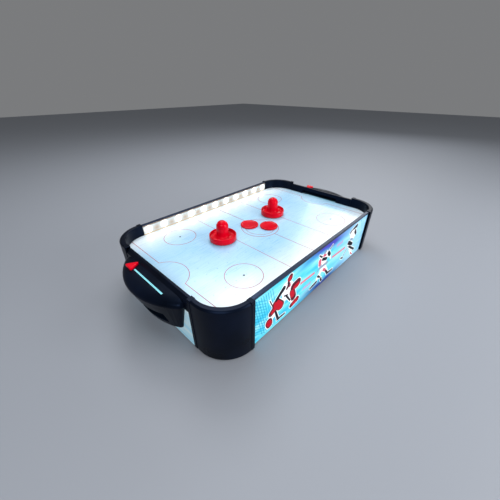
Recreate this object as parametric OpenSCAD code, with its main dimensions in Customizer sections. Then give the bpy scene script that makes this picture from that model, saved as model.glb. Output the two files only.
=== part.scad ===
// Tabletop air hockey game, twenty-inch class: a battery fan blows air up through a perforated
// field, two lit long rails, four moulded corner posts, and a goal with a score slider at each end.
// X runs along the table, Y across it, Z up from the surface it stands on.

/* [Playing field] */
// Length of the field between the end rails
field_len = 420; // [410:1:426]
// Width of the field between the long rails
field_wid = 260; // [256:1:264]
// Corner radius of the rink
rink_r = 42; // [38:1:44]
// Height of the playing surface
field_z = 69; // [68:0.5:70]
// Thickness of the playing board
board_t = 3; // [2.5:0.5:3]
// Spacing of the air holes
hole_pitch = 20; // [16:1:26]
// Diameter of an air hole
hole_d = 1.2; // [0.8:0.1:1.6]

/* [Rails and posts] */
// Height of the rail tops
rail_z = 88; // [88:0.5:90]
// Wall thickness of the moulded posts
wall = 2.2; // [1.8:0.1:2.2]
// Outer corner radius of a post
post_r = 47.5; // [46:0.5:48]
// Number of LEDs along each long rail
led_count = 11; // [7:1:11]
// Spacing of the LEDs
led_pitch = 31; // [18:1:31]

/* [Goals] */
// Half the width of a goal mouth
mouth_hw = 45; // [35:1:45]
// Height of a goal mouth
mouth_h = 9; // [8:0.5:9]
// Reach of the goal deck beyond the end plane
deck_reach = 33; // [33:0.5:35]
// Half the width of the goal deck
deck_hw = 72.8; // [72.2:0.2:73]
// Half the length of the score slot
slot_hl = 42.5; // [42.5:0.5:44]
// Height of the goal box floor
bowl_z = 24; // [20:1:28]

/* [Pushers and pucks] */
// Radius of a pusher's rim
pusher_r = 23.5; // [20:0.5:24]
// Height of a pusher above the field
pusher_h = 36; // [32:1:38]
// Radius of a puck
puck_r = 17; // [15:0.5:17]
// Air film and felt clearance under loose pieces
air_gap = 0.25; // [0.2:0.05:0.4]

/* [Fan and power] */
// Side of the square fan frame
fan_side = 80; // [80:1:84]
// Number of fan blades
blade_count = 7; // [5:1:9]
// Middle of the battery tray along X
tray_x = 110; // [105:1:115]
// Number of AA cells side by side
cell_count = 6; // [4:1:6]

/* [Hidden] */
$fn = 64;
FINE = 128;
CORNER_STEPS = 24;

// colours
BLACK = "#10131f";
RED = "#e00024";
WOOD = "#b08a5a";
BLUE = "#74cdf3";

// levels and planes
base_z = 2.5;
panel_z = [3.5, 6.5];
board_z = field_z - board_t;
field_x = field_len / 2;
field_y = field_wid / 2;
end_x = field_x + 8;
side_y = field_y + 8.5;
board_x = field_x + 3;
board_y = field_y + 2.8;
board_r = rink_r + 3;
top_t = 2;
crown_h = 0.6;
// long rail section, measured from the field edge outwards
lens_t = 0.6;
chip_y = field_y + 0.9;
tape_y = field_y + 1.7;
leg_y = field_y + 2;
skin_t = 2;
lip_y = board_y + skin_t + 0.1;
lip_out = field_y + 5.6;
// corner posts
post_x0 = 165;
post_y0 = 79;
rail_hx = post_x0 - 0.2;
flange_w = 6;
flange_h = 0.7;
boss_at = [198, 118];
// end rail and goal deck: the deck's outline is a shallow arc with two round corners, and its
// edge rolls over into the goal box
end_hy = post_y0 - 0.2;
end_top = rail_z - 2.5;
arc_r = 110;
deck_cr = 10;
deck_top = rail_z - 7.5;
deck_t = 2;
deck_roll = [16, 8];
deck_foot = deck_top - 9.5;
slot_x = end_x + 10.8;
slot_w = 2.8;
knob_gap = 0.3;
bowl_in = 0.3;
bowl_t = 1.8;
bowl_taper = [0.55, 0.8];
slider_y = 38;
// loose pieces on the field
left_pusher_at = [-78, 17];
right_pusher_at = [62, 21];
puck_1_at = [-7.5, 20.6];
puck_2_at = [14, -9.8];
loose_z = field_z + air_gap;
felt_t = 0.8;
// fan, standing on the base panel
fan_h = 25;
fan_bore = 37.5;
fan_hole = 35.75;
hub_r = 18;
shaft_r = 1.5;
// battery tray
tray_hw = [44, 29];
tray_wall = 1.6;
tray_top = 22;
cell_r = 7.1;
cell_pitch = 14.5;
cell_hl = 24.6;
// power switch on the back panel
switch_at = [120, 0, 40];
rocker_tilt = 8;
rocker_y = board_y - 0.2;
rocker_pin_r = 1.2;
// leads: round route points, kept clear of every moving part
battery_route = [[100, 31.5, 14], [100, 40, 14], [105, 60, 9], [115, 90, 9], [120, 105, 20],
    [120, 112, 36], [120, 120, 40]];
fan_route = [[16.5, 0, 36], [30, 0, 36], [44, 4, 34], [52, 20, 20], [52, 44, 12], [30, 58, 12],
    [0, 62, 12], [-40, 62, 12], [-71, 62, 12]];
front_led_route = [[-92, 51.5, 12], [-92, 40, 12], [-105, 0, 9], [-130, -60, 9], [-155, -110, 12],
    [-158, -125, 30], [-158, -131.1, 50], [-158, -131.1, 73.8]];
back_led_route = [[-100, 72.5, 12], [-105, 82, 12], [-130, 100, 12], [-155, 115, 20],
    [-158, 125, 36], [-158, 131.1, 54], [-158, 131.1, 73.8]];
led_lead_x = -158;
lead_r = 0.8;
led_lead_r = 0.4;

// helpers
function arc(c, r, a0, a1, n) =
    [for (i = [0:n]) let (a = a0 + (a1 - a0) * i / n) c + r * [cos(a), sin(a)]];
module block(lo, hi) translate(lo) cube(hi - lo);
module both_x() for (s = [0, 1]) mirror([s, 0, 0]) children();
module both_y() for (s = [0, 1]) mirror([0, s, 0]) children();
// turns a piece drawn at +X, +Y to the end or side that sx and sy name
module place(sx, sy) mirror([sx < 0 ? 1 : 0, 0, 0]) mirror([0, sy < 0 ? 1 : 0, 0]) children();
module slab(z0, z1) translate([0, 0, z0]) linear_extrude(z1 - z0) children();
// rectangle of half sizes hx and hy with round corners of radius r
module rounded(hx, hy, r) polygon([for (k = [0:3])
    let (sx = k == 0 || k == 3 ? 1 : -1, sy = k < 2 ? 1 : -1)
    each arc([sx * (hx - r), sy * (hy - r)], r, 90 * k, 90 * k + 90, CORNER_STEPS)]);
// rink outline grown outwards by g, and the table's outer outline shrunk by t
module rink(g) rounded(field_x + g, field_y + g, rink_r + g);
module outline(t) rounded(end_x - t, side_y - t, post_r - t);
// D-shaped goal outline shrunk by t, drawn outwards from x0 behind the end plane
module goal_outline(t, x0) {
    c = deck_reach - arc_r;
    cy = deck_hw - deck_cr;
    cx = c + sqrt(pow(arc_r - deck_cr, 2) - cy * cy);
    a = asin(cy / (arc_r - deck_cr));
    polygon(concat([[x0, t - deck_hw]], arc([cx, -cy], deck_cr - t, -90, -a, 8),
        arc([c, 0], arc_r - t, -a, a, 20), arc([cx, cy], deck_cr - t, a, 90, 8),
        [[x0, deck_hw - t]]));
}

// board with its grid of air holes and two small holes for the LED leads
module playfield() color("#e4f4ff") difference() {
    slab(board_z, field_z) rounded(board_x, board_y, board_r);
    for (x = [-10:10], y = [-6:6])
        if (in_rink(x * hole_pitch, y * hole_pitch))
            translate([x * hole_pitch, y * hole_pitch, board_z - 1])
                cylinder(d = hole_d, h = board_t + 2, $fn = 16);
    both_y() translate([led_lead_x, field_y + 1.1, board_z - 1])
        cylinder(r = 0.7, h = board_t + 2, $fn = 16);
}
// true where a hole clears the rails and the round corners
function in_rink(x, y) =
    let (m = 4, cx = max(0, abs(x) - (field_x - rink_r)), cy = max(0, abs(y) - (field_y - rink_r)))
    abs(x) <= field_x - m && abs(y) <= field_y - m && norm([cx, cy]) <= rink_r - m;

module base_panel() color(WOOD) difference() {
    slab(panel_z[0], panel_z[1]) rounded(board_x + 0.3, board_y, board_r);
    translate([0, 0, panel_z[0] - 1]) cylinder(r = fan_bore, h = 6);
    fan_corners() translate([0, 0, panel_z[0] - 1]) cylinder(r = 1.8, h = 6);
    block([tray_x - tray_hw[0] - tray_wall - 0.2, -tray_hw[1] - tray_wall - 0.2, 0],
        [tray_x + tray_hw[0] + tray_wall + 0.2, tray_hw[1] + tray_wall + 0.2, 10]);
    both_x() both_y() translate([boss_at[0], boss_at[1], 0]) cylinder(r = 1.7, h = 10);
}

// wooden strips under the edges of the board
module long_batten(sy) color(WOOD) place(1, sy)
    block([-150, board_y - 12, board_z - 12], [150, board_y, board_z]);
module end_batten(sx) color(WOOD) place(sx, 1)
    block([board_x - 12, -70, board_z - 12], [board_x, 70, board_z]);

module long_panel(sy) color(BLUE) place(1, sy) difference() {
    block([-post_x0 - 3, board_y, base_z], [post_x0 + 3, board_y + skin_t, rail_z - 2.5]);
    if (sy > 0) block([switch_at[0] - 6.8, board_y - 1, switch_at[2] - 9.8],
        [switch_at[0] + 6.8, board_y + 3, switch_at[2] + 9.8]);
}
module end_panel(sx) color(BLUE) place(sx, 1)
    block([end_x - 2.1, -end_hy, base_z], [end_x - 0.1, end_hy, board_z]);

// hollow corner moulding: outer and inner walls under a top band, a ledge for the board,
// a screw boss, and a flange strip down each upright edge
module corner_post(sx, sy) color(BLACK) place(sx, sy) difference() {
    union() {
        slab(base_z, rail_z) quadrant() difference() {
            outline(0);
            outline(wall);
        }
        slab(rail_z - top_t, rail_z) quadrant() difference() {
            outline(0);
            rink(0);
        }
        slab(rail_z, rail_z + crown_h) quadrant() difference() {
            outline(1.4);
            rink(1.2);
        }
        slab(field_z, rail_z) quadrant() difference() {
            rink(1.8);
            rink(0);
        }
        slab(board_z - 3, board_z) intersection() {
            translate([172, 86]) square(60);
            difference() {
                outline(wall / 2);
                outline(14);
            }
        }
        translate([boss_at[0], boss_at[1], panel_z[1]]) cylinder(r = 4.5, h = board_z - 1 - panel_z[1]);
        block([end_x - wall / 2, post_y0, base_z],
            [end_x + flange_h, post_y0 + flange_w, rail_z - top_t]);
        block([post_x0, side_y - wall / 2, base_z],
            [post_x0 + flange_w, side_y + flange_h - 0.1, rail_z - top_t]);
        block([post_x0, lip_y, base_z], [post_x0 + wall, side_y - 1, rail_z - top_t]);
        block([end_x - 4.5, post_y0, panel_z[1] + 0.1], [end_x - 1, post_y0 + 2, board_z - 3]);
        block([end_x - 4.5, post_y0 - 4, panel_z[1] + 0.1], [end_x - 2.3, post_y0 + 2, board_z - 12.2]);
        block([post_x0, field_y, rail_z - top_t],
            [post_x0 + flange_w + 1, side_y + flange_h - 0.1, rail_z + 0.9]);
        block([field_x, post_y0, rail_z - top_t],
            [end_x + flange_h, post_y0 + flange_w + 1, rail_z + 0.9]);
    }
    translate([boss_at[0], boss_at[1], 0]) cylinder(r = 1.3, h = 26);
}
module quadrant() intersection() {
    translate([post_x0, post_y0]) square(80);
    children();
}

// long rail: inner leg, top web and an outer lip that hooks over the printed panel
module long_rail(sy) color(BLACK) place(1, sy) {
    block([-rail_hx, leg_y, field_z], [rail_hx, board_y, rail_z]);
    block([-rail_hx, field_y, rail_z - 1.5], [rail_hx, lip_out, rail_z]);
    block([-rail_hx, lip_y, rail_z - 3.5], [rail_hx, lip_out, rail_z]);
}
module led_tape(sy) color("#c9b98a") place(1, sy)
    block([-162, tape_y, field_z + 5], [162, leg_y, field_z + 13]);
module led_chips(sy) color("#fff7e0") place(1, sy)
    for (i = [0:led_count - 1]) translate([(i - (led_count - 1) / 2) * led_pitch, chip_y, field_z + 9])
        block([-2.5, 0, -2.5], [2.5, tape_y - chip_y, 2.5]);
module led_lens(sy) color("#e8fbff", 0.5) place(1, sy)
    block([-rail_hx, field_y, field_z], [rail_hx, field_y + lens_t, rail_z - 1.5]);

// end rail, goal mouth and the deck that carries the score slot, in one moulding
module goal_deck(sx) color(BLACK) place(sx, 1) difference() {
    union() {
        rotate([90, 0, 0]) linear_extrude(2 * end_hy, center = true) end_section();
        block([board_x + 0.3, -mouth_hw - 2, board_z], [end_x - 1, mouth_hw + 2, field_z]);
        both_y() block([field_x + 1, mouth_hw, field_z], [end_x - 1, mouth_hw + 1.5, deck_top - 0.5]);
        block([field_x + 1, -mouth_hw - 1, field_z + mouth_h],
            [end_x - 1, mouth_hw + 1, field_z + mouth_h + 1.5]);
        difference() {
            goal_dome(0, deck_foot, -1);
            goal_dome(deck_t, deck_foot - 1, -3);
        }
        intersection() {
            block([slot_x - 6.5, -slot_hl - 4, deck_top - 4.4],
                [slot_x + 6.5, slot_hl + 4, deck_top - 1]);
            goal_dome(0.8, deck_foot, -1);
        }
    }
    block([field_x - 1, -mouth_hw, field_z], [end_x + 1, mouth_hw, field_z + mouth_h]);
    block([slot_x - slot_w / 2, -slot_hl, deck_top - 2], [slot_x + slot_w / 2, slot_hl, deck_top + 1]);
    block([slot_x - 4.2, -slot_hl, deck_top - 3.4], [slot_x + 4.2, slot_hl, deck_top - 1.6]);
    block([slot_x - 5.3, -slot_hl - 2, deck_top - 4.5], [slot_x + 5.3, slot_hl + 2, deck_top - 3.4]);
}
// section of the end rail: inner wall, a top that slopes down to the deck, and outer wall
module end_section() polygon([[field_x, field_z], [field_x, end_top], [field_x + 3.5, end_top],
    [end_x, deck_top], [end_x, board_z], [end_x - 2, board_z], [end_x - 2, deck_top - 1],
    [field_x + 3, end_top - 2], [field_x + 1.8, end_top - 2], [field_x + 1.8, field_z]]);
// goal outline shrunk by t, then drawn in by e without making its corners sharp
module goal_inset(t, e, x0) intersection() {
    offset(r = -e) goal_outline(t, x0 - e);
    translate([x0, -deck_hw]) square([deck_reach + 10, 2 * deck_hw]);
}
// deck outline with a rolled-over edge, shrunk by t all round, from the level z0 up
module goal_dome(t, z0, x0) translate([end_x, 0, 0]) hull() {
    slab(z0, deck_top - t - deck_roll[1]) goal_outline(t, x0);
    for (a = [15:15:90]) let (z = deck_top - t - deck_roll[1] * (1 - sin(a)))
        slab(z - 0.01, z) goal_inset(t, deck_roll[0] * (1 - cos(a)), x0);
}
// tapered box under the deck that catches the puck, with a window to take it out
module goal_bowl(sx) color(BLACK) place(sx, 1) difference() {
    goal_taper(bowl_in, 0, 0);
    goal_taper(bowl_in + bowl_t, -2, bowl_t);
    block([end_x + 6, -mouth_hw, bowl_z + 8], [end_x + 50, mouth_hw, bowl_z + 28]);
}
module goal_taper(t, x0, floor_t) translate([end_x, 0, deck_foot + (floor_t > 0 ? 0.01 : 0)])
    mirror([0, 0, 1]) linear_extrude(deck_foot - bowl_z - floor_t, scale = bowl_taper, slices = 1)
        goal_outline(t, x0);

module score_strip(sx) color("#8adff0") place(sx, 1)
    block([slot_x - 5.2, -slot_hl - 1.9, deck_top - 4.4], [slot_x + 5.2, slot_hl + 1.9, deck_top - 3.5]);
// three-cornered knob with a stem through the slot and a foot in the groove below
module score_slider(sx) color(RED) place(sx, 1) translate([slot_x, slider_y, deck_top]) {
    block([-3.9, -4, -3.1], [3.9, 4, -1.9]);
    block([-slot_w / 2 + 0.3, -3.5, -2], [slot_w / 2 - 0.3, 3.5, 1]);
    slab(knob_gap, knob_gap + 2.7) offset(r = 2.1) knob_outline();
    slab(knob_gap + 2.4, knob_gap + 3.3) offset(r = 1.3) knob_outline();
}
module knob_outline() polygon([[-7.6, 0], [3.6, -6.1], [3.6, 6.1]]);

// turned striker: rim, trough and a domed grip
module pusher(at) color(RED) translate([at[0], at[1], loose_z + felt_t]) {
    h = pusher_h - felt_t;
    grip_r = 10.4;
    rotate_extrude($fn = FINE) polygon(concat(
        [[0, 0], [pusher_r - 0.8, 0], [pusher_r, 1], [pusher_r, 9.8], [pusher_r - 0.6, 10.6],
         [pusher_r - 1.5, 10.6], [pusher_r - 2.1, 9.8], [pusher_r - 2.6, 5.4], [pusher_r - 3.8, 4.4],
         [13.2, 5.2], [11.5, 7], [grip_r, 10]],
        arc([0, h - grip_r], grip_r, 0, 90, 10)));
}
module felt(at) color("#20242c") translate([at[0], at[1], loose_z])
    cylinder(r = pusher_r - 2, h = felt_t);
module puck(at) color(RED) translate([at[0], at[1], loose_z])
    rotate_extrude($fn = FINE) polygon([[0, 0], [puck_r - 0.8, 0], [puck_r, 0.7], [puck_r, 2.2],
        [puck_r - 0.7, 2.9], [puck_r - 3.5, 2.9], [puck_r - 4, 2.5], [0, 2.5]]);

// disc over the air intake, under the base panel, cut with rings of slots between spokes
module intake_grille() color(BLACK) difference() {
    slab(panel_z[0] - 1.5, panel_z[0]) circle(41);
    for (r = [10:6:34]) difference() {
        slab(0, 8) circle(r + 4);
        slab(-1, 9) circle(r);
        for (a = [0:60:120]) rotate([0, 0, a]) block([-45, -1.2, -1], [45, 1.2, 9]);
    }
}
module fan_corners() both_x() both_y() translate([fan_hole, fan_hole, 0]) children();
module fan_frame() color("#1b1d22") translate([0, 0, panel_z[1]]) difference() {
    union() {
        difference() {
            slab(0, fan_h) rounded(fan_side / 2, fan_side / 2, 4);
            translate([0, 0, -1]) cylinder(r = fan_bore, h = fan_h + 2, $fn = FINE);
        }
        slab(fan_h - 2, fan_h + 2) difference() {
            circle(14);
            circle(4);
        }
        for (a = [45:90:315]) rotate([0, 0, a]) block([12, -2, fan_h - 2], [fan_bore + 1, 2, fan_h]);
    }
    fan_corners() translate([0, 0, -1]) cylinder(r = 1.2, h = fan_h + 2);
}
// stator with the bearing bush, hung from the frame's spider
module fan_motor() color("#8a8f96") translate([0, 0, panel_z[1]]) difference() {
    union() {
        slab(fan_h - 15, fan_h - 2) circle(12.5);
        slab(fan_h - 2, fan_h + 2.5) circle(3.9);
    }
    translate([0, 0, fan_h - 16]) cylinder(r = shaft_r + 0.05, h = 15);
}
module fan_rotor() color("#2b2f36") translate([0, 0, panel_z[1]]) {
    difference() {
        slab(4, 22.5) circle(hub_r);
        slab(6, 23) circle(hub_r - 2);
    }
    slab(5, 20) circle(shaft_r);
    intersection() {
        difference() {
            slab(3, 22.5) circle(fan_bore - 1);
            slab(2, 23) circle(hub_r - 1);
        }
        for (i = [0:blade_count - 1]) rotate([0, 0, i * 360 / blade_count])
            translate([hub_r + 9, 0, 13]) rotate([38, 0, 0]) cube([24, 22, 1.6], center = true);
    }
}
module screw(head_r, head_h, r, h) {
    slab(0, head_h) circle(head_r);
    slab(head_h - 0.2, head_h + h) circle(r);
}
module fan_screws() color("#b9bdc3") fan_corners()
    translate([0, 0, panel_z[0] - 1]) screw(2.8, 1, 1.15, 14);

// battery tray let into the base panel, open below, with rails for the sliding door
module battery_tray() color(BLACK) translate([tray_x, 0, 0]) difference() {
    union() {
        block([-tray_hw[0] - tray_wall, -tray_hw[1] - tray_wall, 1],
            [tray_hw[0] + tray_wall, tray_hw[1] + tray_wall, tray_top]);
        block([-tray_hw[0] - 6, -tray_hw[1] - 6, panel_z[1]],
            [tray_hw[0] + 6, tray_hw[1] + 6, panel_z[1] + 1.5]);
    }
    block([-tray_hw[0], -tray_hw[1], 3.4], [tray_hw[0], tray_hw[1], tray_top - tray_wall]);
    block([-tray_hw[0], -tray_hw[1], 1.6], [tray_hw[0], tray_hw[1] + 5, 3.5]);
    block([-tray_hw[0] + 2, -tray_hw[1], 0], [tray_hw[0] - 2, tray_hw[1] + 5, 3.5]);
}
module battery_door() color("#1a1e2a") translate([tray_x, 0, 0]) {
    block([-tray_hw[0] + 0.3, -tray_hw[1] + 0.3, 1.9], [tray_hw[0] - 0.3, tray_hw[1] + 1.4, 3.1]);
    for (i = [-3:3]) block([-10, i * 2.5 + 18 - 0.6, 1.2], [10, i * 2.5 + 18 + 0.6, 2]);
}
function cell_x(i) = tray_x + (i - (cell_count - 1) / 2) * cell_pitch;
module battery_cells() for (i = [0:cell_count - 1]) translate([cell_x(i), 0, 11]) mirror([0, i % 2, 0])
    rotate([-90, 0, 0]) {
        color("#3c4048") translate([0, 0, -cell_hl]) cylinder(r = cell_r, h = 2 * cell_hl);
        color("silver") translate([0, 0, cell_hl]) cylinder(r = 2.7, h = 1.3);
    }
module battery_contacts() color("#c8ccd2") for (i = [0:cell_count - 1]) translate([cell_x(i), 0, 11])
    mirror([0, i % 2, 0]) {
        block([-4.5, tray_hw[1] - 0.5, -5], [4.5, tray_hw[1] - 0.05, 5]);
        block([-2.5, cell_hl + 1.4, -2.5], [2.5, tray_hw[1] - 0.2, 2.5]);
        block([-4.5, -tray_hw[1] + 0.05, -5], [4.5, -tray_hw[1] + 0.5, 5]);
        translate([0, -cell_hl - 0.1, 0]) rotate([90, 0, 0]) difference() {
            cylinder(r = 3.4, h = tray_hw[1] - cell_hl - 0.3);
            translate([0, 0, -1]) cylinder(r = 2.6, h = 10);
        }
    }

// rocker switch let into the back panel
module switch_housing() color("#15171c") translate(switch_at) difference() {
    union() {
        block([-7.5, board_y + skin_t, -10.5], [7.5, board_y + skin_t + 1.5, 10.5]);
        block([-6.5, board_y - 12, -9.5], [6.5, board_y + skin_t + 0.5, 9.5]);
    }
    block([-5.4, board_y - 10.5, -8.8], [5.4, board_y + 6, 8.8]);
    translate([0, rocker_y, 0]) rotate([0, 90, 0])
        cylinder(r = rocker_pin_r + 0.2, h = 13.2, center = true);
}
// paddle on a pin that turns in the housing's two side walls
module switch_rocker() color(RED) translate([switch_at[0], rocker_y, switch_at[2]])
    rotate([rocker_tilt, 0, 0]) {
        rotate([90, 0, 90]) translate([0, 0, -5.1]) linear_extrude(10.2)
            polygon([[-3, -5], [4.4, -8], [3.2, 0], [4.4, 8], [-3, 5]]);
        rotate([0, 90, 0]) cylinder(r = rocker_pin_r, h = 12.4, center = true);
    }

module led_driver_board() translate([-90, 62, panel_z[1]]) {
    color("#1f6b3a") block([-18, -10, 2], [18, 10, 3.2]);
    color("#1f6b3a") both_x() both_y() translate([14, 7, 0]) cylinder(r = 2, h = 2.2);
    color("#222222") block([-6, -4, 3.2], [4, 3, 5]);
    color("#303a66") translate([12, 0, 3.2]) cylinder(r = 3, h = 7);
}

// a lead: eight-sided tube swept along its route, one ring at each point of a smooth curve
function smooth(p, i, t) =
    let (n = len(p) - 1, a = p[max(i - 1, 0)], b = p[i], c = p[min(i + 1, n)], d = p[min(i + 2, n)])
    0.5 * (2 * b + (c - a) * t + (2 * a - 5 * b + 4 * c - d) * t * t
        + (3 * b - a - 3 * c + d) * t * t * t);
function curve(p, n) =
    concat([for (i = [0:len(p) - 2], k = [0:n - 1]) smooth(p, i, k / n)], [p[len(p) - 1]]);
function unit(v) = v / norm(v);
function tangent(q, i) = unit(q[min(i + 1, len(q) - 1)] - q[max(i - 1, 0)]);
function side_of(t, s) = unit(s - (s * t) * t);
function sides(q, i, s) = i == 0 ? [side_of(tangent(q, 0), s)]
    : let (u = sides(q, i - 1, s)) concat(u, [side_of(tangent(q, i), u[i - 1])]);
module lead(route, r, n) {
    q = curve(route, n);
    last = len(q) - 1;
    u = sides(q, last, [0.3, 0.4, 0.87]);
    k = 8;
    points = [for (i = [0:last], j = [0:k - 1])
        let (t = tangent(q, i), v = cross(t, u[i]), a = 360 * j / k)
        q[i] + r * (cos(a) * u[i] + sin(a) * v)];
    faces = concat([[for (j = [0:k - 1]) j]],
        [for (i = [0:last - 1], j = [0:k - 1])
            [i * k + j, (i + 1) * k + j, (i + 1) * k + (j + 1) % k, i * k + (j + 1) % k]],
        [[for (j = [0:k - 1]) last * k + k - 1 - j]]);
    polyhedron(points, faces);
}
module battery_lead() color("#b01818") lead(battery_route, lead_r, 4);
module fan_lead() color("#202020") lead(fan_route, lead_r, 4);
module front_led_lead() color("#d8d8d8") lead(front_led_route, led_lead_r, 5);
module back_led_lead() color("#d8d8d8") lead(back_led_route, led_lead_r, 5);

module rubber_feet() color("#22252b") both_x() both_y()
    translate([176, 96, 0]) cylinder(r = 8, h = panel_z[0]);
module base_screws() color("#b9bdc3") both_x() both_y()
    translate([boss_at[0], boss_at[1], panel_z[0] - 1.5]) screw(3.2, 1.5, 1.25, 16);

playfield();
base_panel();
long_batten(-1);  // front_batten
long_batten(1);  // back_batten
end_batten(-1);  // left_batten
end_batten(1);  // right_batten
long_panel(-1);  // front_panel
long_panel(1);  // back_panel
end_panel(-1);  // left_end_panel
end_panel(1);  // right_end_panel
corner_post(-1, -1);  // front_left_post
corner_post(1, -1);  // front_right_post
corner_post(-1, 1);  // back_left_post
corner_post(1, 1);  // back_right_post
long_rail(-1);  // front_rail
long_rail(1);  // back_rail
led_tape(-1);  // front_led_tape
led_tape(1);  // back_led_tape
led_chips(-1);  // front_led_chips
led_chips(1);  // back_led_chips
led_lens(-1);  // front_lens
led_lens(1);  // back_lens
goal_deck(-1);  // left_goal_deck
goal_deck(1);  // right_goal_deck
goal_bowl(-1);  // left_goal_bowl
goal_bowl(1);  // right_goal_bowl
score_strip(-1);  // left_score_strip
score_strip(1);  // right_score_strip
score_slider(-1);  // left_score_slider
score_slider(1);  // right_score_slider
pusher(left_pusher_at);  // left_pusher
pusher(right_pusher_at);  // right_pusher
felt(left_pusher_at);  // left_pusher_felt
felt(right_pusher_at);  // right_pusher_felt
puck(puck_1_at);  // puck_1
puck(puck_2_at);  // puck_2
intake_grille();
fan_frame();
fan_motor();
fan_rotor();
fan_screws();
battery_tray();
battery_contacts();
battery_cells();
battery_door();
switch_housing();
switch_rocker();
led_driver_board();
battery_lead();
fan_lead();
front_led_lead();
back_led_lead();
rubber_feet();
base_screws();
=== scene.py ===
# %% [markdown]
# # A tabletop air hockey game
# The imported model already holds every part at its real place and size. This file dresses it: it
# rounds the moulded edges, lays the printed lines, lights the LEDs and gives each part the finish
# that its real material has. Everything is in metres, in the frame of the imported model.

# %% Load the frame
import math
import bmesh
import bpy
from mathutils import Matrix, Vector


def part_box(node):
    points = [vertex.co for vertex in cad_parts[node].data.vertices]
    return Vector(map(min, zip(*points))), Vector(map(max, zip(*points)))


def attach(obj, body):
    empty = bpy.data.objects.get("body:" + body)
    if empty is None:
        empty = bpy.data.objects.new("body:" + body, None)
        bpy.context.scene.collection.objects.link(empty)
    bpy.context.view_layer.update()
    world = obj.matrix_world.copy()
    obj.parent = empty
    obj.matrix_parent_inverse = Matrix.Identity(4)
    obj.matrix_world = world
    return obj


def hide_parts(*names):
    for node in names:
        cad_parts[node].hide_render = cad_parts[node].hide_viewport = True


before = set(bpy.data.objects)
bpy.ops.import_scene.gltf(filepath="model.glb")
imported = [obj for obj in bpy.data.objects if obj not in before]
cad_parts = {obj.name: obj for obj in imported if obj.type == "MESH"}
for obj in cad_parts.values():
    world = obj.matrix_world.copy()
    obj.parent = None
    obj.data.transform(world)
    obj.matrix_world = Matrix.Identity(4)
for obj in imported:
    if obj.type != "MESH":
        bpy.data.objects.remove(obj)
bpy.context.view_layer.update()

MM = 0.001

# %% [markdown]
# ## The camera
# The camera stands close to one end of the table with a wide lens, so that the near corner looks
# tall and the far end small. A close, wide view can't be had by moving a long lens about: the
# spread of the lines comes from the distance alone, so that distance is set first.

# %% Camera
FILM = 36.0
FOCAL_RATIO = 0.4995          # focal length over film width
CAMERA_AT = Vector((-0.3195, -0.2760, 0.2902))
LOOK = Vector((0.6031, 0.5705, -0.5575))
eye = bpy.data.cameras.new("view")
eye.sensor_width = FILM
eye.lens = FILM * FOCAL_RATIO
eye.shift_y = 0.009
eye.clip_start = 0.01
camera = bpy.data.objects.new("view", eye)
camera.location = CAMERA_AT
camera.rotation_euler = LOOK.to_track_quat("-Z", "Y").to_euler()
bpy.context.collection.objects.link(camera)
bpy.context.scene.camera = camera
print("lens in mm:", round(eye.lens, 2))

# %% [markdown]
# ## Small helpers
# Colours are written as sRGB hex, the way a paint chart gives them, and turned to linear values
# once. `add` makes a shader node, sets it and links it, and the short functions after it name the
# nodes that every finish here uses: noise, arithmetic, a change of range, a band and a blend.
# `surface` starts a finish from the Principled shader, and `dress` puts a finish on a part.

# %% Colour and shader helpers
def linear(code, alpha=1.0):
    """sRGB hex to the linear values that Blender works in."""
    parts = [int(code[k:k + 2], 16) / 255 for k in (1, 3, 5)]
    return tuple(c / 12.92 if c <= 0.04045 else ((c + 0.055) / 1.055) ** 2.4 for c in parts) + (alpha,)


def add(tree, kind, links=None, **settings):
    """Adds one shader node; links maps input names or numbers to sockets or values."""
    made = tree.nodes.new("ShaderNode" + kind)
    for name, value in settings.items():
        setattr(made, name, value)
    for name, value in (links or {}).items():
        if isinstance(value, bpy.types.NodeSocket):
            tree.links.new(value, made.inputs[name])
        else:
            made.inputs[name].default_value = value
    return made


def surface(name, **sockets):
    """A new material whose Principled shader takes plain values or linked sockets."""
    finish = bpy.data.materials.new(name)
    finish.use_nodes = True
    put(finish, **sockets)
    return finish, finish.node_tree


def put(finish, **sockets):
    """Sets or links sockets of the Principled shader; an underscore stands for a space."""
    tree = finish.node_tree
    shader = tree.nodes["Principled BSDF"]
    for name, value in sockets.items():
        socket = shader.inputs[name.replace("_", " ")]
        if isinstance(value, bpy.types.NodeSocket):
            tree.links.new(value, socket)
        else:
            socket.default_value = value


def place_of(tree, scale=(1, 1, 1)):
    """The point on the part, in metres, stretched by scale."""
    where = add(tree, "TexCoord").outputs["Object"]
    return add(tree, "Mapping", {"Vector": where, "Scale": scale}).outputs["Vector"]


def axes(tree):
    """X, Y and Z of the point on the part, in metres."""
    split = add(tree, "SeparateXYZ", {"Vector": place_of(tree)})
    return [split.outputs[axis] for axis in "XYZ"]


def noise(tree, grain, detail=2.0, where=None):
    """Noise from nought to one, with features about grain mm across."""
    where = where or place_of(tree)
    made = add(tree, "TexNoise", {"Vector": where, "Scale": 1 / (grain * MM), "Detail": detail})
    return made.outputs["Fac"]


def calc(tree, operation, *values):
    """The result of one Math node."""
    return add(tree, "Math", dict(enumerate(values)), operation=operation).outputs[0]


def remap(tree, value, start, end, low=0.0, high=1.0, curve="LINEAR"):
    """Value carried from the range start to end on to the range low to high."""
    ends = {"Value": value, "From Min": start, "From Max": end, "To Min": low, "To Max": high}
    return add(tree, "MapRange", ends, interpolation_type=curve).outputs["Result"]


def band(tree, value, low, high, soft=0.3):
    """One between low and high mm of value, nought outside, with soft edges."""
    up = remap(tree, value, (low - soft) * MM, (low + soft) * MM)
    down = remap(tree, value, (high - soft) * MM, (high + soft) * MM, 1.0, 0.0)
    return calc(tree, "MULTIPLY", up, down)


def blend(tree, share, first, second):
    """First colour where share is nought, second where it is one."""
    return add(tree, "Mix", {0: share, 6: first, 7: second}, data_type="RGBA").outputs[2]


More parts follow.
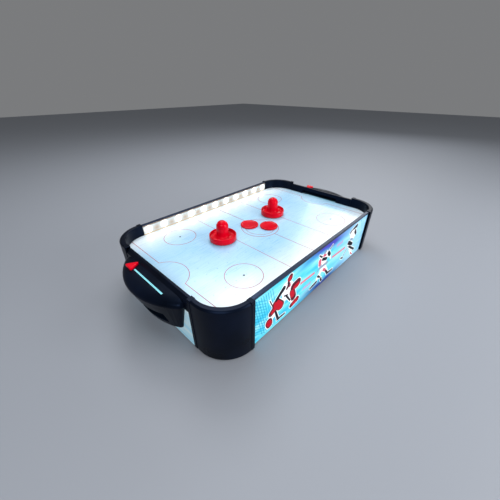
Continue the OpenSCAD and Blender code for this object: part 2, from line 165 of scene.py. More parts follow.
def ramp(tree, factor, stops):
    """A colour ramp; stops are (position, colour or grey)."""
    made = add(tree, "ValToRGB", {"Fac": factor})
    marks = made.color_ramp.elements
    while len(marks) < len(stops):
        marks.new(0.5)
    for mark, (at, colour) in zip(marks, stops):
        mark.position = at
        mark.color = colour if isinstance(colour, tuple) else (colour, colour, colour, 1)
    return made.outputs["Color"]


def two_tone(tree, factor, low, high, start=0.3, end=0.7):
    """A ramp between two sRGB hex colours."""
    return ramp(tree, factor, [(start, linear(low)), (end, linear(high))])


def bump(tree, height, distance, strength=1.0):
    """A normal raised by height, distance mm deep at most."""
    ends = {"Height": height, "Distance": distance * MM, "Strength": strength}
    return add(tree, "Bump", ends).outputs["Normal"]


def dress(part, finish):
    """Puts a finish on a new piece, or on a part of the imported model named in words."""
    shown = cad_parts[part] if isinstance(part, str) else part
    shown.data.materials.clear()
    shown.data.materials.append(finish)
    return shown


print("helpers ready")

# %% [markdown]
# Three ways of making a piece cover this object. `piece` takes points and faces. `turned` spins a
# profile with a Screw modifier, as a lathe or a round mould would. `softened` copies a part of the
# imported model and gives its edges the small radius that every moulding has, because a knife-sharp
# edge catches no light.

# %% Shape helpers
def smooth_by_angle(mesh, degrees=35):
    """Smooth shading that keeps the edges sharper than the angle."""
    for face in mesh.polygons:
        face.use_smooth = True
    mesh.set_sharp_from_angle(angle=math.radians(degrees))


def piece(name, points, faces, finish, body="table", replaces=(), mm=True):
    """A new part from points (in mm unless mm is False) and faces, riding on a body."""
    mesh = bpy.data.meshes.new(name)
    mesh.from_pydata([Vector(p) * (MM if mm else 1) for p in points], [], faces)
    mesh.validate()
    made = bpy.data.objects.new(name, mesh)
    bpy.context.collection.objects.link(made)
    dress(made, finish)
    smooth_by_angle(mesh)
    settle(made, body, replaces)
    return made


def settle(made, body, replaces=()):
    """Lets the piece ride on its body and hides the parts it stands for."""
    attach(made, body)
    if replaces:
        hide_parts(*replaces)
    return made


def rounded_edges(made, width, segments=3, degrees=30):
    """Gives every edge sharper than the angle a radius of width mm."""
    edge = made.modifiers.new("edge radius", "BEVEL")
    edge.width = width * MM
    edge.segments = segments
    edge.limit_method = "ANGLE"
    edge.angle_limit = math.radians(degrees)
    edge.use_clamp_overlap = True
    edge.harden_normals = True
    return made


def apply_stack(made):
    """Turns the modifiers into plain mesh."""
    bpy.context.view_layer.update()
    graph = bpy.context.evaluated_depsgraph_get()
    mesh = bpy.data.meshes.new_from_object(made.evaluated_get(graph))
    old = made.data
    made.modifiers.clear()
    made.data = mesh
    bpy.data.meshes.remove(old)
    return made


def turned(name, profile, at, finish, body, replaces=(), steps=96, round_off=0.0):
    """Spins a profile of (radius, height) in mm, listed from the top down, about a vertical axis."""
    mesh = bpy.data.meshes.new(name)
    links = [(k, k + 1) for k in range(len(profile) - 1)]
    mesh.from_pydata([(r * MM, 0, z * MM) for r, z in profile], links, [])
    made = bpy.data.objects.new(name, mesh)
    bpy.context.collection.objects.link(made)
    spin = made.modifiers.new("turn", "SCREW")
    spin.steps = spin.render_steps = steps
    spin.use_merge_vertices = True
    spin.merge_threshold = 0.005 * MM
    spin.use_normal_calculate = False
    apply_stack(made)
    tidy = bmesh.new()
    tidy.from_mesh(made.data)
    bmesh.ops.remove_doubles(tidy, verts=tidy.verts, dist=0.005 * MM)
    bmesh.ops.recalc_face_normals(tidy, faces=tidy.faces)
    tidy.to_mesh(made.data)
    tidy.free()
    made.data.transform(Matrix.Translation(Vector(at)))
    dress(made, finish)
    smooth_by_angle(made.data, 40)
    settle(made, body, replaces)
    return made


def softened(node, width, finish, body, degrees=30):
    """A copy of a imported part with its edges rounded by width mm, which then stands for it."""
    copy = bmesh.new()
    copy.from_mesh(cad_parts[node].data)
    bmesh.ops.remove_doubles(copy, verts=copy.verts, dist=0.002 * MM)
    bmesh.ops.dissolve_limit(copy, angle_limit=math.radians(1), verts=copy.verts, edges=copy.edges)
    mesh = bpy.data.meshes.new(node + "_moulding")
    copy.to_mesh(mesh)
    copy.free()
    made = bpy.data.objects.new(node + "_moulding", mesh)
    bpy.context.collection.objects.link(made)
    dress(made, finish)
    smooth_by_angle(mesh, degrees)
    rounded_edges(made, width, 3, degrees)
    settle(made, body, (node,))
    return made


def arc(centre, radius, start, end, steps):
    """Points in mm along an arc, angles in degrees."""
    turn = [math.radians(start + (end - start) * k / steps) for k in range(steps + 1)]
    return [(centre[0] + radius * math.cos(a), centre[1] + radius * math.sin(a)) for a in turn]


def box_mm(node):
    """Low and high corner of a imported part, in mm."""
    low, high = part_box(node)
    return [v / MM for v in low], [v / MM for v in high]


print("shape helpers ready")

# %% [markdown]
# ## Black mouldings
# Posts, rails and goal decks are injection-moulded ABS in a blue-black. The mould's fine spark
# texture scatters the light, so highlights are broad and blue-grey and never mirror sharp. The
# grain is about 0.45 mm, and handling leaves slightly glossier patches some centimetres across.
# The long rails are extruded strips, glossier than the moulded parts. Their lighter blue-black is
# painted light: a painted highlight for the LED glow reflected along the rail tops.

# %% Black moulding finish
def black_moulding(name, low, high, level):
    finish, tree = surface(name)
    grain = noise(tree, 0.45)
    patch = noise(tree, 45, 3.0)
    put(finish, Base_Color=two_tone(tree, patch, low, high),
        Roughness=remap(tree, patch, 0.3, 0.7, 0.26, 0.36), IOR=1.46, Specular_IOR_Level=level,
        Specular_Tint=linear("#8fb8ff"), Normal=bump(tree, grain, 0.03, 0.3))
    return finish


black = black_moulding("moulded_abs_blue_black", "#05080f", "#0a101e", 0.1)
# the rails' lighter colours are painted light, a painted highlight of the LED glow on their tops
rail_black_painted_glow = black_moulding("extruded_rail_painted_glow", "#131b2a", "#1c2638", 0.4)
print("finishes:", black.name, rail_black_painted_glow.name)

# %% [markdown]
# Each corner post is a hollow wall that follows the table's round corner, with a band across the
# top down to the rink's own wall. A section of that wall is drawn once, then placed at stations
# along the corner, and a Bevel modifier rounds the band. Subdivision would swell the flat faces,
# so the bevel is the better tool here.

# %% Corner posts
FIELD_Z = box_mm("playfield")[1][2]
RAIL_Z = box_mm("front_rail")[1][2]
BASE_Z = box_mm("front_right_post")[0][2]
FIELD_X, FIELD_Y, RINK_R = 210.0, 130.0, 42.0
END_X, SIDE_Y, POST_R = 218.0, 138.5, 47.5
POST_X0, POST_Y0 = 165.0, 79.0    # where a post ends on the long side and on the end
WALL, TOP_T = 2.2, 2.0            # side wall, and the band across the top
CROWN = 0.6                       # how far the band stands above the rail
FLANGE_W = 6.0                    # cover strip over the end of a panel, 0.6 to 0.7 mm proud


def corner_path(half_x, half_y, radius, steps):
    """From the end side round to the long side, for the corner at +X and +Y."""
    bend = arc((half_x - radius, half_y - radius), radius, 0, 90, steps)
    return [(half_x, POST_Y0)] + bend + [(POST_X0, half_y)]


def corner_post(name, sx, sy, steps=28):
    outer = corner_path(END_X, SIDE_Y, POST_R, steps)
    inner = corner_path(FIELD_X, FIELD_Y, RINK_R, steps)
    crown, soffit = RAIL_Z + CROWN, RAIL_Z - TOP_T
    section = [("in", 0, FIELD_Z), ("in", 0, RAIL_Z - 0.4), ("in", 1.4, crown), ("out", 2.0, crown),
               ("out", 0, RAIL_Z - 1.6), ("out", 0, BASE_Z), ("out", WALL, BASE_Z),
               ("out", WALL, soffit), ("in", 1.8, soffit), ("in", 1.8, FIELD_Z)]
    points = []
    for (ox, oy), (ix, iy) in zip(outer, inner):
        span = math.hypot(ox - ix, oy - iy)
        for side, inset, z in section:
            share = inset / span if side == "in" else 1 - inset / span
            points.append((sx * (ix + (ox - ix) * share), sy * (iy + (oy - iy) * share), z))
    ring = len(section)
    last = len(outer) - 1
    faces = [(i * ring + j, i * ring + k, (i + 1) * ring + k, (i + 1) * ring + j)
             for i in range(last) for j in range(ring) for k in [(j + 1) % ring]]
    faces += [tuple(reversed(range(ring))), tuple(last * ring + j for j in range(ring))]
    end_out, side_out, lug_top = END_X + 0.7, SIDE_Y + 0.6, RAIL_Z + 0.9
    blocks = [((END_X - 1, POST_Y0, BASE_Z), (end_out, POST_Y0 + FLANGE_W, soffit)),
              ((POST_X0, SIDE_Y - 1, BASE_Z), (POST_X0 + FLANGE_W, side_out, soffit)),
              ((POST_X0, FIELD_Y + 5, BASE_Z), (POST_X0 + WALL, SIDE_Y - 0.5, soffit)),
              ((POST_X0, FIELD_Y, soffit), (POST_X0 + FLANGE_W + 1, side_out, lug_top)),
              ((FIELD_X, POST_Y0, soffit), (end_out, POST_Y0 + FLANGE_W + 1, lug_top)),
              ((END_X - 4.5, POST_Y0 - 4, BASE_Z + 4), (END_X - 2.3, POST_Y0 + 2, FIELD_Z - 15))]
    for low, high in blocks:
        corners = [(sx * (low[0], high[0])[k & 1], sy * (low[1], high[1])[k >> 1 & 1],
                    (low[2], high[2])[k >> 2]) for k in range(8)]
        start = len(points)
        points += corners
        faces += [tuple(start + k for k in side) for side in
                  ((0, 2, 3, 1), (4, 5, 7, 6), (0, 1, 5, 4), (2, 6, 7, 3), (0, 4, 6, 2), (1, 3, 7, 5))]
    made = piece(name + "_moulding", points, faces, black, "table", (name,))
    outward(made)
    return rounded_edges(made, 1.0, 3)


def outward(made):
    """Turns the faces of closed shells outwards."""
    shell = bmesh.new()
    shell.from_mesh(made.data)
    bmesh.ops.recalc_face_normals(shell, faces=shell.faces)
    shell.to_mesh(made.data)
    shell.free()
    smooth_by_angle(made.data)
    return made


for name, sx, sy in (("front_left_post", -1, -1), ("front_right_post", 1, -1),
                     ("back_left_post", -1, 1), ("back_right_post", 1, 1)):
    corner_post(name, sx, sy)
print("posts 4, rail top at", RAIL_Z, "mm")

# %% [markdown]
# The long rails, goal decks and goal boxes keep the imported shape. Copies of them get a bevel of
# half a millimetre, the radius a mould-maker leaves so that the part fills and pulls cleanly.

# %% Rails, decks and goal boxes
for node, width, finish in (("front_rail", 0.45, rail_black_painted_glow), ("back_rail", 0.45, rail_black_painted_glow),
                            ("left_goal_deck", 0.5, black), ("right_goal_deck", 0.5, black),
                            ("left_goal_bowl", 0.4, black), ("right_goal_bowl", 0.4, black)):
    softened(node, width, finish, "table")
print("softened rails, decks and boxes")

# %% [markdown]
# ## The playing board
# The board is a 3 mm fibreboard with a printed, laminated face. The film is smooth and a little
# glossy, the print is pale blue, and play leaves hair-fine scratches. Towards the long sides the
# colour turns white: that white is painted light, the glow of the LED rails painted on the board.

# %% Board finish
def field_board():
    finish, tree = surface("laminated_board_ice")
    blue = two_tone(tree, noise(tree, 110, 4.0), "#97c8ea", "#b2d8f1", 0.35, 0.65)
    across = calc(tree, "ABSOLUTE", axes(tree)[1])
    # painted light: the board is whitened towards the long rails, a painted glow of the LEDs
    edge = remap(tree, across, 55 * MM, 125 * MM, curve="SMOOTHSTEP")
    scratch = noise(tree, 1000, 6.0, place_of(tree, (30, 900, 1)))
    put(finish, Base_Color=blend(tree, edge, blue, linear("#e2f0fa")),
        Roughness=remap(tree, scratch, 0.35, 0.7, 0.26, 0.32), IOR=1.5, Coat_Weight=0.3,
        Coat_Roughness=0.12)
    return finish


dress("playfield", field_board())
print("board dressed")

# %% [markdown]
# The rink lines are ink, a few hundredths of a millimetre thick. They are laid here as thin flat
# pieces just above the board, so that they stay crisp at any distance.

# %% Rink lines
INK_T = 0.05


def ink_finish(name, code, rough=0.4):
    """Ink that soaks a little deeper between the fibres of the paper."""
    finish, tree = surface(name)
    deep = tuple(0.8 * c for c in linear(code)[:3]) + (1,)
    put(finish, Base_Color=ramp(tree, noise(tree, 0.8), [(0.3, deep), (0.6, linear(code))]),
        Roughness=rough, IOR=1.5, Specular_IOR_Level=0.08)
    return finish


def flat_ring(centre, radius, width, start=0, end=360, steps=72):
    """Outline pairs of an annulus or part of one, as a list of quads."""
    out = arc(centre, radius + width / 2, start, end, steps)
    inn = arc(centre, radius - width / 2, start, end, steps)
    return [(inn[k], out[k], out[k + 1], inn[k + 1]) for k in range(steps)]


def flat_disc(centre, radius, steps=24):
    return [tuple(arc(centre, radius, 0, 360, steps)[:-1])]


def flat_line(a, b, width):
    """One quad along a line."""
    a, b = Vector(a), Vector(b)
    side = (b - a).orthogonal().normalized() * width / 2
    return [tuple(tuple(p) for p in (a - side, b - side, b + side, a + side))]


def ink_piece(name, shapes, lift, finish, thick=INK_T, body="table"):
    """Flat outlines given a skin's thickness; lift turns (u, v, height) into a point in mm."""
    points, faces = [], []
    for order, shape in enumerate(shapes):
        count = len(shape)
        start = len(points)
        top = thick + 0.0004 * order
        points += [lift(u, v, 0) for u, v in shape] + [lift(u, v, top) for u, v in shape]
        faces.append(tuple(start + k for k in reversed(range(count))))
        faces.append(tuple(start + count + k for k in range(count)))
        for k in range(count):
            here, there = start + k, start + (k + 1) % count
            faces.append((here, there, there + count, here + count))
    return outward(piece(name, points, faces, finish, body))


def on_field(u, v, h):
    return (u, v, FIELD_Z + h)


LINE_W = 0.9
GOAL_LINE, ZONE_LINE = 191.7, 62.9       # distance of the cross lines from the middle
CENTRE_R, CENTRE_IN_R = 35.0, 28.0       # the two centre rings
SPOT_X, SPOT_Y, SPOT_R = 124.3, 79.5, 27.7
CREASE_R, CREASE_BACK = 37.2, 14.4       # crease arc, and how far behind the goal line its centre is
ink = []
crease_y = math.sqrt(CREASE_R ** 2 - CREASE_BACK ** 2)
crease_angle = math.degrees(math.acos(CREASE_BACK / CREASE_R))
for sx in (-1, 1):
    ink += flat_ring((sx * (GOAL_LINE + CREASE_BACK), 0), CREASE_R, LINE_W,
                     90 + sx * 90 - crease_angle, 90 + sx * 90 + crease_angle, 36)
    ink += flat_line((sx * ZONE_LINE, -FIELD_Y + 1), (sx * ZONE_LINE, FIELD_Y - 1), LINE_W)
    for sy in (-1, 1):
        ink += flat_line((sx * GOAL_LINE, sy * crease_y), (sx * GOAL_LINE, sy * (FIELD_Y - 7)), LINE_W)
        ink += flat_ring((sx * SPOT_X, sy * SPOT_Y), SPOT_R, LINE_W)
        ink += flat_line((0, sy * CENTRE_R), (0, sy * (FIELD_Y - 1)), LINE_W)
ink += flat_ring((0, 0), CENTRE_R, LINE_W) + flat_ring((0, 0), CENTRE_IN_R, 0.6)
dots = []
for sx, sy in ((-1, -1), (-1, 1), (1, -1), (1, 1)):
    dots += flat_disc((sx * SPOT_X, sy * SPOT_Y), 1.7)
ink_piece("rink_lines", ink, on_field, ink_finish("printed_ink_red", "#b06570"))
ink_piece("face_off_dots", dots, on_field, ink_finish("printed_ink_slate", "#3a455a"))
print("ink shapes on the field:", len(ink) + len(dots))

# %% [markdown]
# ## LED rails
# Behind a clear strip, each long rail hides a tape with an LED every few centimetres. Each package
# is a small white block with a yellow phosphor window, far brighter than anything round it. The
# clear strip picks that light up, so it glows round each LED and fades between them.

# %% LED tape, chips and lens
chip_low, chip_high = box_mm("front_led_chips")
LED_COUNT, LED_SIZE = 11, 5.0
LED_PITCH = (chip_high[0] - chip_low[0] - LED_SIZE) / (LED_COUNT - 1)
LED_Z = (chip_low[2] + chip_high[2]) / 2


def led_distance(tree):
    """Distance in metres from the nearest LED, along the tape and up it."""
    x, _, z = axes(tree)
    pitch = LED_PITCH * MM
    cell = calc(tree, "MODULO", calc(tree, "ADD", x, pitch * 100.5), pitch)
    along = calc(tree, "SUBTRACT", cell, pitch / 2)
    up = calc(tree, "SUBTRACT", z, LED_Z * MM)
    flat = add(tree, "CombineXYZ", {"X": along, "Y": up}).outputs["Vector"]
    return add(tree, "VectorMath", {0: flat}, operation="LENGTH").outputs["Value"]


def led_emitter():
    """A package whose phosphor window is brighter than its white rim."""
    finish, tree = surface("led_package_lit", Base_Color=linear("#fff6dc"), Roughness=0.4)
    window = remap(tree, led_distance(tree), 1.6 * MM, 2.6 * MM, 20.0, 8.0)
    put(finish, Emission_Color=linear("#fff4d2"), Emission_Strength=window)
    return finish


def clear_lens():
    """Bright over each LED, with a faint sight of the tape's pads in between and darker tan bands
    along the foot and the top.
    """
    finish, tree = surface("clear_extruded_acrylic", Roughness=0.2, IOR=1.49)
    far = led_distance(tree)
    x, _, z = axes(tree)
    spot = remap(tree, far, 1.5 * MM, 9.5 * MM, 1.0, 0.0, "SMOOTHERSTEP")
    haze = remap(tree, far, 6 * MM, 17 * MM, 0.2, 0.05)
    glow = calc(tree, "ADD", calc(tree, "MULTIPLY", spot, 4.0), haze)
    along = calc(tree, "PINGPONG", x, LED_PITCH * MM)
    pad = calc(tree, "MULTIPLY", band(tree, along, 10, 21, 3.5), band(tree, z, 72, 80, 3))
    tone = blend(tree, calc(tree, "MULTIPLY", pad, 0.75), linear("#ccd4d6"), linear("#bfa588"))
    tone = blend(tree, band(tree, z, FIELD_Z - 1, FIELD_Z + 2.2), tone, linear("#cdb797"))
    tone = blend(tree, band(tree, z, RAIL_Z - 3.6, RAIL_Z), tone, linear("#84705e"))
    put(finish, Base_Color=tone, Emission_Color=blend(tree, spot, tone, linear("#fff9e8")),
        Emission_Strength=glow, Transmission_Weight=0.2)
    return finish


def led_tape():
    """Tape with a bare copper pad half way between two LEDs."""
    finish, tree = surface("flexible_circuit_tape", Roughness=0.5)
    along = calc(tree, "PINGPONG", axes(tree)[0], LED_PITCH * MM)
    pads = remap(tree, along, 9.5 * MM, 10 * MM)
    put(finish, Base_Color=two_tone(tree, pads, "#efe9d6", "#b59a5c", 0.4, 0.6))
    return finish


emitter, lens, tape = led_emitter(), clear_lens(), led_tape()
for side in ("front", "back"):
    dress(side + "_led_chips", emitter)
    dress(side + "_lens", lens)
    dress(side + "_led_tape", tape)
print("LED pitch in mm:", round(LED_PITCH, 2))

# %% [markdown]
# ## Side and end panels
# The panels are board with a printed paper face under gloss film. The print is a cyan rink with
# pale streaks of ice, darker towards the foot.

# %% Panel finish
def printed_panel(name, deep, mid, pale, edges=False):
    """Streaked ice; with edges, also a violet top and navy foot in the middle and a pale far end."""
    finish, tree = surface(name)
    slanted = add(tree, "Mapping", {"Vector": place_of(tree), "Rotation": (0, math.radians(35), 0),
                                    "Scale": (1, 1, 6)}).outputs["Vector"]
    streak = noise(tree, 60, 5.0, slanted)
    tone = ramp(tree, streak, [(0.34, linear(deep)), (0.50, linear(mid)), (0.66, linear(pale))])
    if edges:
        x, y, z = axes(tree)
        along = calc(tree, "MULTIPLY", x, calc(tree, "SIGN", y))
        far_end = remap(tree, along, -20 * MM, -110 * MM, 0.0, 0.55)
        tone = blend(tree, far_end, tone, linear("#bcd4fb"))
        middle = band(tree, along, -75, 45, 40)
        sway = remap(tree, noise(tree, 90), 0.0, 1.0, -16 * MM, 16 * MM)
        level = calc(tree, "ADD", z, sway)
        for start, end, code in ((66, 80, "#3f3db4"), (19, 6, "#0d3690")):
            share = calc(tree, "MULTIPLY", remap(tree, level, start * MM, end * MM), middle)
            tone = blend(tree, share, tone, linear(code))
    put(finish, Base_Color=tone, Roughness=0.34, IOR=1.5, Specular_IOR_Level=0.2)
    return finish


side_print = printed_panel("printed_gloss_side", "#2fbde2", "#5fd6f0", "#9ee6f6", True)
end_print = printed_panel("printed_gloss_end", "#a4e4ff", "#c4f0ff", "#e2f9ff")
for node in ("front_panel", "back_panel"):
    dress(node, side_print)
for node in ("left_end_panel", "right_end_panel"):
    dress(node, end_print)
print("panels dressed")

# %% [markdown]
# The side print is a rink scene with three players and no faces. A player is built from limbs: a
# limb is a straight stroke with round ends, wide at one end and narrow at the other. Each colour of
# ink is one layer, and a white layer that is a little wider lies under them all, as on a real
# screen print. Positions are in mm along the panel and up it.

# %% Side artwork
PANEL_Y = FIELD_Y + 4.8


def limb(a, b, start, end=None):
    """Outline of a stroke from a to b that is start mm wide on each side, then end mm."""
    end = start if end is None else end
    turn = math.degrees(math.atan2(b[1] - a[1], b[0] - a[0]))
    return arc(b, end, turn - 90, turn + 90, 7) + arc(a, start, turn + 90, turn + 270, 7)


# each limb: from, to, half width at the start, half width at the end
MAROON_LIMBS = [
    ((-91, 75), (-90, 77), 6.0, 5.2), ((-119, 47), (-108, 36), 8.6, 8.0),
    ((-128, 36), (-118, 42), 6.0, 7.0), ((-133, 22), (-131, 16), 7.0, 6.6),
    ((-79, 53), (-70, 54), 8.0, 8.4), ((-82, 46), (-76, 30), 6.4, 6.4),
    ((-80, 16), (-66, 19), 4.6, 6.0), ((-96, 60), (-92, 66), 2.6, 2.6)]
RED_LIMBS = [
    ((-92, 74), (-91, 76), 3.6, 3.2), ((-118, 46), (-109, 36), 6.6, 6.4),
    ((-126, 36), (-121, 39), 3.6, 4.2), ((-133, 21), (-131, 17), 5.2, 5.0),
    ((-77, 50), (-69, 51), 3.6, 4.4), ((-83, 44), (-79, 36), 4.6, 4.8),
    ((-76, 16), (-68, 19), 3.2, 4.6), ((122, 14), (131, 7), 1.6, 1.2)]
ROSE_LIMBS = [
    ((-9, 61), (-7, 53), 4.2, 4.2), ((2, 66), (9, 64), 2.6, 2.2),
    ((10, 34), (17, 29), 3.2, 2.6), ((-93, 66), (-90, 61), 3.2, 2.6)]
NAVY_LIMBS = [
    ((-133, 62), (-126, 47), 0.9, 0.9), ((-119, 32), (-113, 15), 2.0, 2.4),
    ((-113, 12), (-96, 11), 2.4, 1.6), ((-119, 54), (-104, 65), 3.2, 4.2),
    ((-101, 49), (-93, 46), 1.3, 1.3), ((-96, 46), (-85, 30), 1.8, 1.4),
    ((-95, 70), (-92, 62), 1.5, 1.5), ((-13, 73), (-4, 66), 1.2, 1.8),
    ((0, 60), (13, 55), 3.0, 3.2), ((17, 65), (23, 58), 3.6, 3.6),
    ((21, 70), (28, 75), 1.3, 1.0), ((-27, 15), (-9, 18), 2.2, 2.6),
    ((-7, 29), (2, 22), 2.2, 1.6), ((20, 26), (27, 18), 2.4, 2.4),
    ((27, 16), (46, 15), 2.6, 2.0), ((6, 17), (9, 11), 2.6, 2.6),
    ((95, 70), (101, 73), 2.2, 2.2), ((107, 74), (120, 76), 2.8, 4.0),
    ((117, 66), (123, 58), 3.6, 3.2), ((98, 48), (117, 37), 4.4, 3.4),
    ((104, 37), (134, 18), 2.2, 2.4), ((84, 22), (99, 40), 0.8, 0.8),
    ((76, 24), (85, 20), 1.4, 2.0)]
GREY_LIMBS = [
    ((-5, 45), (19, 44), 3.0, 3.0), ((4, 70), (8, 72), 3.6, 2.6),
    ((104, 53), (114, 49), 2.6, 2.6), ((-12, 40), (-2, 50), 1.6, 1.6)]
WHITE_LIMBS = [
    ((-100, 64), (-97, 46), 9.5, 8), ((-88, 62), (-84, 50), 6, 5),
    ((-79, 32), (-74, 19), 7, 6), ((-128, 24), (-122, 27), 3.6, 3.6),
    ((5, 57), (5, 42), 12, 9), ((4, 66), (8, 68), 6.4, 5.6),
    ((4, 38), (-8, 24), 5, 3.6), ((12, 38), (24, 24), 4.6, 3.6),
    ((22, 62), (30, 46), 2.4, 1.4), ((107, 63), (113, 54), 9, 8),
    ((112, 27), (127, 11), 3.6, 3), ((110, 70), (112, 69), 5, 5)]
HALO = 1.3


def limbs(table, wider=0.0):
    return [limb(a, b, start + wider, end + wider) for a, b, start, end in table]


ice_arcs = flat_ring((95, 40), 58, 1.3, -32, 46, 18) + flat_ring((86, 36), 73, 0.9, -22, 34, 16)
rose_lines = flat_line((-61, 46), (-20, 44), 4.6) + flat_line((35, 46), (86, 43), 4.6)
net, hatch = [], []
for k in range(9):
    net += flat_line((-146 + 4.4 * k, 8), (-164 + 4.4 * k, 80), 0.9)
for k in range(13):
    net += flat_line((-165, 22 + 5 * k), (-140, 8 + 5 * k), 0.7)
for k in range(7):
    for x, z in ((-51 + 3.4 * k, 26), (46 + 3.6 * k, 61)):
        hatch += flat_line((x, z), (x + 1.8, z + 6), 1.8)

# each layer of ink: name, colour, shapes, thickness
art = [("net", "#0aa0cc", net, 0.05), ("ice", "#62c4de", ice_arcs, 0.06),
       ("line", "#e07f8c", rose_lines, 0.05), ("hatch", "#d57fb4", hatch, 0.05),
       ("halo", "#ffffff", limbs(MAROON_LIMBS + RED_LIMBS + NAVY_LIMBS + ROSE_LIMBS, HALO)
        + limbs(WHITE_LIMBS), 0.10),
       ("grey", "#8ea3b8", limbs(GREY_LIMBS), 0.14), ("rose", "#d9637c", limbs(ROSE_LIMBS), 0.17),
       ("maroon", "#560a22", limbs(MAROON_LIMBS), 0.18), ("red", "#c00a24", limbs(RED_LIMBS), 0.20),
       ("navy", "#04071a", limbs(NAVY_LIMBS), 0.23)]
switch_low, switch_high = box_mm("switch_housing")


def on_front(u, v, h):
    return (u, -PANEL_Y - h, v)


def on_back(u, v, h):
    return (-u, PANEL_Y + h, v)


def off_switch(shape, beside, above):
    """False where a shape on the back panel comes within beside or above mm of the power switch."""
    us, vs = [-p[0] for p in shape], [p[1] for p in shape]
    return (max(us) < switch_low[0] - beside or min(us) > switch_high[0] + beside
            or max(vs) < switch_low[2] - above or min(vs) > switch_high[2] + above)


for layer, code, shapes, thick in art:
    finish = ink_finish("side_ink_" + layer, code, 0.35)
    room = (1, 1) if layer == "net" else (5, 14)
    clear = [shape for shape in shapes if off_switch(shape, *room)]
    ink_piece("front_art_" + layer, shapes, on_front, finish, thick)
    ink_piece("back_art_" + layer, clear, on_back, finish, thick)
print("ink layers on each side:", len(art))

# %% [markdown]
# ## Red mouldings
# Pushers, pucks and score sliders are glossy red polystyrene. The surface is polished by the mould
# and shows a clear, narrow highlight on a deep, even red.

# %% Red finish
def red_moulding():
    finish, tree = surface("moulded_styrene_red")
    put(finish, Base_Color=two_tone(tree, noise(tree, 25), "#bd0018", "#d2001f"), Roughness=0.27,
        IOR=1.5, Specular_IOR_Level=0.3, Specular_Tint=linear("#ff7078"), Coat_Weight=0.05,
        Coat_Roughness=0.06, Normal=bump(tree, noise(tree, 1.2), 0.008, 0.15))
    return finish


red = red_moulding()
print("finish:", red.name)

# %% [markdown]
# A pusher is a turned shape: a hollow rim, a trough and a domed grip. A puck is a disc with a
# shallow recess and rounded edges. Both profiles are drawn once and spun.

# %% Pushers and pucks
def spot_of(node):
    """Middle of a part's underside, and its height."""
    low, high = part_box(node)
    return Vector(((low.x + high.x) / 2, (low.y + high.y) / 2, low.z)), high.z - low.z


PUSHER_R, GRIP_R = 23.5, 10.4


def pusher(node, body):
    at, height = spot_of(node)
    top = height / MM    # the profiles run in (radius, height) from the top down
    dome = [(GRIP_R * math.cos(math.radians(a)), top - GRIP_R + GRIP_R * math.sin(math.radians(a)))
            for a in range(90, -1, -9)]
    neck = [(GRIP_R - 0.2, 12.5), (GRIP_R + 0.2, 9.5), (11.8, 7.2), (13.2, 6.0), (15.0, 5.3),
            (18.8, 5.0)]
    rim = [(20.2, 5.8), (20.9, 7.0), (21.2, 9.2), (21.6, 10.2), (22.2, 10.6), (22.8, 10.5),
           (23.3, 9.9), (PUSHER_R, 9.0), (PUSHER_R, 1.4), (23.2, 0.5), (22.6, 0.0), (0.0, 0.0)]
    return turned(node + "_turning", dome + neck + rim, at, red, body, (node,))


def puck(node, body):
    at, height = spot_of(node)
    profile = [(0, 2.5), (12.8, 2.5), (13.2, 2.6), (13.6, 2.9), (16.1, 2.9), (16.6, 2.7), (16.9, 2.3),
               (17, 1.9), (17, 0.9), (16.9, 0.5), (16.6, 0.2), (16.1, 0), (0, 0)]
    return turned(node + "_turning", profile, at, red, body, (node,))


pusher("left_pusher", "left_striker")
pusher("right_pusher", "right_striker")
puck("puck_1", "puck_a")
puck("puck_2", "puck_b")
for node, body in (("left_score_slider", "left_score"), ("right_score_slider", "right_score")):
    softened(node, 0.4, red, body)
softened("switch_rocker", 0.5, red, "rocker")
print("loose pieces made")

# %% [markdown]
# ## Plain finishes for the rest
# The parts inside and underneath get the finish of their own material: felt, fibreboard, softwood,
# steel, rubber, circuit board and moulded black plastic. The score strips also glow a little: that
# glow is painted light.

# %% Finishes for the works
def noisy(name, low, high, size, rough, deep=0.02, stretch=(1, 1, 1), detail=3.0, **more):
    """A finish whose colour and relief come from noise with grains of size mm."""
    finish, tree = surface(name)
    grain = noise(tree, size, detail, place_of(tree, stretch))
    put(finish, Base_Color=two_tone(tree, grain, low, high), Roughness=rough,
        Normal=bump(tree, grain, deep, 0.5), **more)
    return finish


felt = noisy("pressed_felt_black", "#17181c", "#34363d", 0.5, 0.95, 0.15, Sheen_Weight=0.5)
fibreboard = noisy("bare_fibreboard", "#7c5b3c", "#a98458", 1.2, 0.8, 0.05)
softwood = noisy("sawn_softwood", "#a87f4f", "#d9b680", 4.0, 0.7, 0.08, (0.12, 1, 1))
fittings = noisy("moulded_black_plastic", "#16171b", "#202227", 0.5, 0.42, 0.02, IOR=1.5)
steel = noisy("plated_steel", "#a4a7ab", "#c2c5c9", 0.6, 0.3, 0.01, Metallic=1.0)
zinc = noisy("zinc_plated_screw", "#b5b8bc", "#d5d7da", 0.5, 0.32, 0.01, Metallic=1.0)
rubber = noisy("moulded_rubber", "#141518", "#222429", 0.6, 0.75, 0.04)
# painted light: the score strip's emission is a painted glow, so the strip in the deck slot reads
# bright though it is no lamp
strip = noisy("printed_score_strip_painted_glow", "#8fdff0", "#b4f0fa", 6.0, 0.35, 0.0,
              Emission_Color=linear("#8ee6f4"), Emission_Strength=0.9)


def cell_sleeve():
    """Dark sleeve with a copper-coloured band, and bare steel at the ends of the cell."""
    finish, tree = surface("printed_cell_sleeve")
    along = calc(tree, "ABSOLUTE", axes(tree)[1])
    tone = two_tone(tree, noise(tree, 3, 4.0), "#1f2329", "#32373e")
    tone = blend(tree, band(tree, along, 15, 22.5, 0.1), tone, linear("#b0703a"))
    steel_end = band(tree, along, 23.6, 40, 0.1)
    put(finish, Base_Color=blend(tree, steel_end, tone, linear("#c3c6c9")), Metallic=steel_end,
        Roughness=0.3)
    return finish


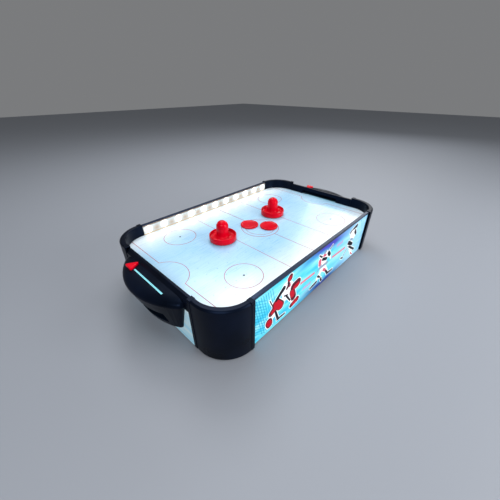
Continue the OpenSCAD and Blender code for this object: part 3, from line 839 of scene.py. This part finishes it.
def circuit_board():
    """Green coat over tracks, with a black chip and a blue capacitor painted where they stand."""
    finish, tree = surface("coated_circuit_board")
    x, _, z = axes(tree)
    track = add(tree, "TexBrick", {"Vector": place_of(tree), "Scale": 1 / (9 * MM)}).outputs["Fac"]
    tone = blend(tree, track, linear("#14602f"), linear("#2b8f4e"))
    tall = band(tree, z, 9.9, 40, 0.1)
    for low, high, code in ((-97, -85, "#17181a"), (-82, -74, "#27336e")):
        here = calc(tree, "MULTIPLY", tall, band(tree, x, low, high, 0.1))
        tone = blend(tree, here, tone, linear(code))
    put(finish, Base_Color=tone, Roughness=0.32)
    return finish


board, wrap = circuit_board(), cell_sleeve()
sleeve = {"battery_lead": "#a81414", "fan_lead": "#1c1c1e", "front_led_lead": "#d7d7d2",
          "back_led_lead": "#d7d7d2"}
finishes = {
    "left_pusher_felt": felt, "right_pusher_felt": felt, "base_panel": fibreboard,
    "front_batten": softwood, "back_batten": softwood, "left_batten": softwood,
    "right_batten": softwood, "intake_grille": fittings, "fan_frame": fittings,
    "fan_rotor": fittings, "battery_tray": fittings, "battery_door": fittings,
    "switch_housing": fittings, "fan_motor": steel, "battery_contacts": steel,
    "fan_screws": zinc, "base_screws": zinc, "rubber_feet": rubber, "left_score_strip": strip,
    "right_score_strip": strip, "led_driver_board": board, "battery_cells": wrap}
for node, finish in finishes.items():
    dress(node, finish)
for node, code in sleeve.items():
    dress(node, noisy(node + "_sleeve", code, code, 1.0, 0.45, 0.01))
print("dressed", len(finishes) + len(sleeve), "parts")

# %% [markdown]
# ## Floor and light
# A plain pale floor and large soft lamps, as on a product table.

# %% Stage
def stage_floor():
    size = 4.0
    mesh = bpy.data.meshes.new("floor")
    corners = [(-size, -size, 0), (size, -size, 0), (size, size, 0), (-size, size, 0)]
    mesh.from_pydata(corners, [], [(0, 1, 2, 3)])
    made = bpy.data.objects.new("floor", mesh)
    bpy.context.collection.objects.link(made)
    dress(made, surface("pale_floor", Base_Color=linear("#8b9099"), Roughness=0.6)[0])


def lamp(name, at, aim, size, power, tint="#ffffff"):
    light = bpy.data.lights.new(name, "AREA")
    light.size = size
    light.energy = power
    light.color = linear(tint)[:3]
    made = bpy.data.objects.new(name, light)
    made.location = at
    made.rotation_euler = (Vector(aim) - Vector(at)).to_track_quat("-Z", "Y").to_euler()
    bpy.context.collection.objects.link(made)


stage_floor()
lamp("key", (-1.2, -0.8, 1.0), (0, 0, 0.05), 0.8, 14)
lamp("fill", (1.5, 0.35, 0.9), (0, 0, 0.05), 0.8, 6)
lamp("rim", (0.4, 0.66, 1.1), (-0.1, 0, 0.05), 0.5, 6)
lamp("top", (0.1, 0.1, 1.5), (0, 0, 0.05), 1.3, 10)
lamp("front", (0.4, -1.2, 0.4), (0, 0, 0.03), 0.7, 15)
sky = bpy.data.worlds.new("studio")
sky.use_nodes = True
backdrop = sky.node_tree.nodes["Background"]
backdrop.inputs["Color"].default_value = linear("#f2f4f7")
backdrop.inputs["Strength"].default_value = 0.22
bpy.context.scene.world = sky
bpy.context.scene.view_settings.view_transform = "Standard"
print("stage ready")
